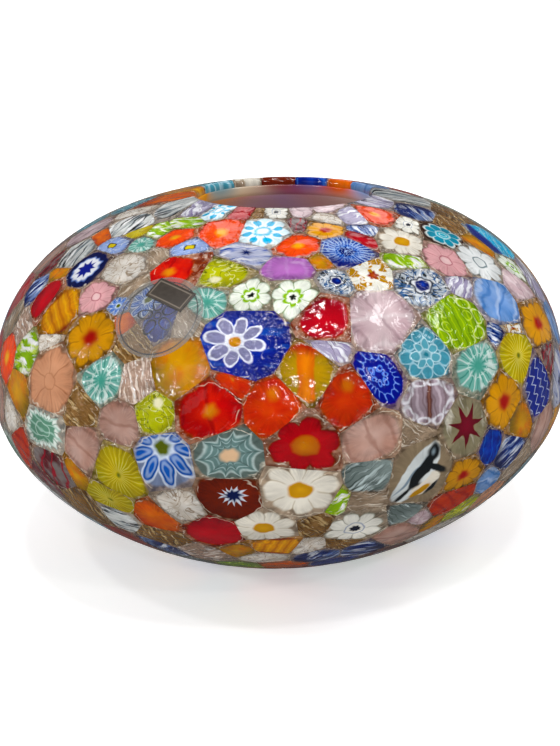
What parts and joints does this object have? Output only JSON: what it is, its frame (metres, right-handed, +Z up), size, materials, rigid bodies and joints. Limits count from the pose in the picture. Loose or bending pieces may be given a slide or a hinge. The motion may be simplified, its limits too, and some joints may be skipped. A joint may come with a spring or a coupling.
{
  "type": "art glass bowl",
  "caption": "Squat round blown-glass bowl with a small open mouth, its clear wall covered in fused flower-pattern cane slices, with two small blank stick-on labels.",
  "frame": {"origin": "centre of the flat underside, on the surface the bowl stands on", "axes": "+Z up along the bowl's turning axis, -Y towards the side with the labels, +X to the right of that side; the mouth is offset towards +X"},
  "size_m": [0.2, 0.2, 0.125],
  "materials": {
    "clear_glass_body": "clear blown glass, fire polished",
    "round_film_label": "smoky see-through film",
    "rectangle_label": "dark printed foil with a soft sheen",
    "murrine_red_plain": "fused coloured cane slice, fire polished",
    "murrine_red_orange_centre": "fused coloured cane slice, fire polished",
    "murrine_red_flower": "fused coloured cane slice, fire polished",
    "murrine_vermilion_blob": "fused coloured cane slice, fire polished",
    "murrine_salmon_red": "fused coloured cane slice, fire polished",
    "murrine_orange_flower": "fused coloured cane slice, fire polished",
    "murrine_orange_plain": "fused coloured cane slice, fire polished",
    "murrine_amber_plain": "fused coloured cane slice, fire polished",
    "murrine_amber_daisy": "fused coloured cane slice, fire polished",
    "murrine_amber_red_ends": "fused coloured cane slice, fire polished",
    "murrine_yellow_orange_stripe": "fused coloured cane slice, fire polished",
    "murrine_lime_scroll": "fused coloured cane slice, fire polished",
    "murrine_lime_white_stripe": "fused coloured cane slice, fire polished",
    "murrine_lime_twist": "fused coloured cane slice, fire polished",
    "murrine_pale_yellow_shell": "fused coloured cane slice, fire polished",
    "murrine_flesh_flower": "fused coloured cane slice, fire polished",
    "murrine_flesh_plain": "fused coloured cane slice, fire polished",
    "murrine_pink_plain": "fused coloured cane slice, fire polished",
    "murrine_pink_flower": "fused coloured cane slice, fire polished",
    "murrine_white_daisy_yellow": "fused coloured cane slice, fire polished",
    "murrine_white_daisy_ring": "fused coloured cane slice, fire polished",
    "murrine_white_daisy_dark": "fused coloured cane slice, fire polished",
    "murrine_white_ruffled": "fused coloured cane slice, fire polished",
    "murrine_white_black_stripe": "fused coloured cane slice, fire polished",
    "murrine_gold_white_red": "fused coloured cane slice, fire polished",
    "murrine_black_white_bird": "fused coloured cane slice, fire polished",
    "murrine_black_white_eye": "fused coloured cane slice, fire polished",
    "murrine_navy_white_stripe": "fused coloured cane slice, fire polished",
    "murrine_navy_ring_star": "fused coloured cane slice, fire polished",
    "murrine_cobalt_plain": "fused coloured cane slice, fire polished",
    "murrine_cobalt_flower": "fused coloured cane slice, fire polished",
    "murrine_cobalt_square_star": "fused coloured cane slice, fire polished",
    "murrine_cobalt_zigzag": "fused coloured cane slice, fire polished",
    "murrine_blue_dense_star": "fused coloured cane slice, fire polished",
    "murrine_blue_streak": "fused coloured cane slice, fire polished",
    "murrine_blue_white_olive": "fused coloured cane slice, fire polished",
    "murrine_cyan_cobalt": "fused coloured cane slice, fire polished",
    "murrine_light_blue_flower": "fused coloured cane slice, fire polished",
    "murrine_dark_outline_flower": "fused coloured cane slice, fire polished",
    "murrine_periwinkle_plain": "fused coloured cane slice, fire polished",
    "murrine_periwinkle_square": "fused coloured cane slice, fire polished",
    "murrine_turquoise_streak": "fused coloured cane slice, fire polished",
    "murrine_teal_white_flower": "fused coloured cane slice, fire polished",
    "murrine_grey_teal_star": "fused coloured cane slice, fire polished",
    "murrine_grey_teal_stripe": "fused coloured cane slice, fire polished",
    "murrine_green_white_flower": "fused coloured cane slice, fire polished",
    "murrine_green_white_star": "fused coloured cane slice, fire polished",
    "murrine_lavender_stripe": "fused coloured cane slice, fire polished",
    "murrine_lavender_brown": "fused coloured cane slice, fire polished",
    "murrine_mauve_plain": "fused coloured cane slice, fire polished",
    "murrine_maroon_star": "fused coloured cane slice, fire polished",
    "murrine_maroon_grey": "fused coloured cane slice, fire polished",
    "murrine_brown_red_star": "fused coloured cane slice, fire polished",
    "murrine_brown_clear": "fused coloured cane slice, fire polished",
    "murrine_clear_taupe": "fused coloured cane slice, fire polished",
    "murrine_clear_sparkle": "fused coloured cane slice, fire polished"
  },
  "bodies": {
    "root": {"clear_glass_body": "clear_glass_body", "round_film_label": "round_film_label", "rectangle_label": "rectangle_label", "murrine_red_plain": "murrine_red_plain", "murrine_red_orange_centre": "murrine_red_orange_centre", "murrine_red_flower": "murrine_red_flower", "murrine_vermilion_blob": "murrine_vermilion_blob", "murrine_salmon_red": "murrine_salmon_red", "murrine_orange_flower": "murrine_orange_flower", "murrine_orange_plain": "murrine_orange_plain", "murrine_amber_plain": "murrine_amber_plain", "murrine_amber_daisy": "murrine_amber_daisy", "murrine_amber_red_ends": "murrine_amber_red_ends", "murrine_yellow_orange_stripe": "murrine_yellow_orange_stripe", "murrine_lime_scroll": "murrine_lime_scroll", "murrine_lime_white_stripe": "murrine_lime_white_stripe", "murrine_lime_twist": "murrine_lime_twist", "murrine_pale_yellow_shell": "murrine_pale_yellow_shell", "murrine_flesh_flower": "murrine_flesh_flower", "murrine_flesh_plain": "murrine_flesh_plain", "murrine_pink_plain": "murrine_pink_plain", "murrine_pink_flower": "murrine_pink_flower", "murrine_white_daisy_yellow": "murrine_white_daisy_yellow", "murrine_white_daisy_ring": "murrine_white_daisy_ring", "murrine_white_daisy_dark": "murrine_white_daisy_dark", "murrine_white_ruffled": "murrine_white_ruffled", "murrine_white_black_stripe": "murrine_white_black_stripe", "murrine_gold_white_red": "murrine_gold_white_red", "murrine_black_white_bird": "murrine_black_white_bird", "murrine_black_white_eye": "murrine_black_white_eye", "murrine_navy_white_stripe": "murrine_navy_white_stripe", "murrine_navy_ring_star": "murrine_navy_ring_star", "murrine_cobalt_plain": "murrine_cobalt_plain", "murrine_cobalt_flower": "murrine_cobalt_flower", "murrine_cobalt_square_star": "murrine_cobalt_square_star", "murrine_cobalt_zigzag": "murrine_cobalt_zigzag", "murrine_blue_dense_star": "murrine_blue_dense_star", "murrine_blue_streak": "murrine_blue_streak", "murrine_blue_white_olive": "murrine_blue_white_olive", "murrine_cyan_cobalt": "murrine_cyan_cobalt", "murrine_light_blue_flower": "murrine_light_blue_flower", "murrine_dark_outline_flower": "murrine_dark_outline_flower", "murrine_periwinkle_plain": "murrine_periwinkle_plain", "murrine_periwinkle_square": "murrine_periwinkle_square", "murrine_turquoise_streak": "murrine_turquoise_streak", "murrine_teal_white_flower": "murrine_teal_white_flower", "murrine_grey_teal_star": "murrine_grey_teal_star", "murrine_grey_teal_stripe": "murrine_grey_teal_stripe", "murrine_green_white_flower": "murrine_green_white_flower", "murrine_green_white_star": "murrine_green_white_star", "murrine_lavender_stripe": "murrine_lavender_stripe", "murrine_lavender_brown": "murrine_lavender_brown", "murrine_mauve_plain": "murrine_mauve_plain", "murrine_maroon_star": "murrine_maroon_star", "murrine_maroon_grey": "murrine_maroon_grey", "murrine_brown_red_star": "murrine_brown_red_star", "murrine_brown_clear": "murrine_brown_clear", "murrine_clear_taupe": "murrine_clear_taupe", "murrine_clear_sparkle": "murrine_clear_sparkle"}
  },
  "joints": []
}
